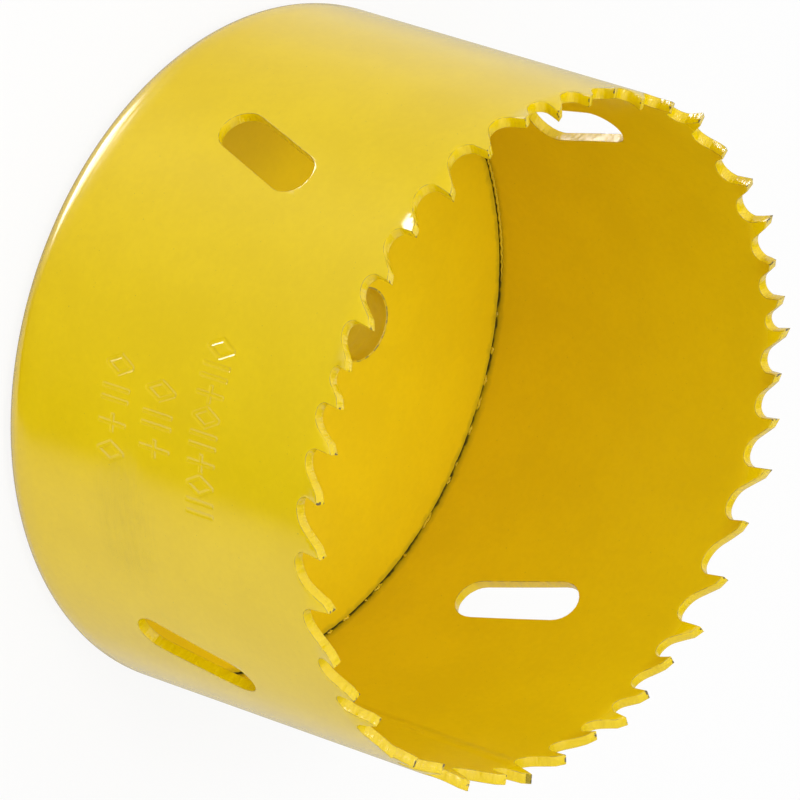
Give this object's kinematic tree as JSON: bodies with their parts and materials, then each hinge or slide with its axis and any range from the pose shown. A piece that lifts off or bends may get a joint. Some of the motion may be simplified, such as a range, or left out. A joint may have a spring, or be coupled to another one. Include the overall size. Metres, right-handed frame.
{
  "type": "hole saw",
  "caption": "Cup-shaped hole saw: a toothed, painted steel band with slanted pry slots, on a backplate with a threaded arbor hole and drive-pin holes.",
  "frame": {"origin": "centre of the backplate's flat outer face, on the saw's axis", "axes": "+Z along the saw's axis, from the backplate to the teeth; +X and +Y pass close to two of the pry slots"},
  "size_m": [0.0749, 0.0757, 0.0454],
  "materials": {
    "yellow_enamel": "gloss"
  },
  "bodies": {
    "root": {"saw_band": "yellow_enamel", "backplate": "yellow_enamel"}
  },
  "joints": []
}
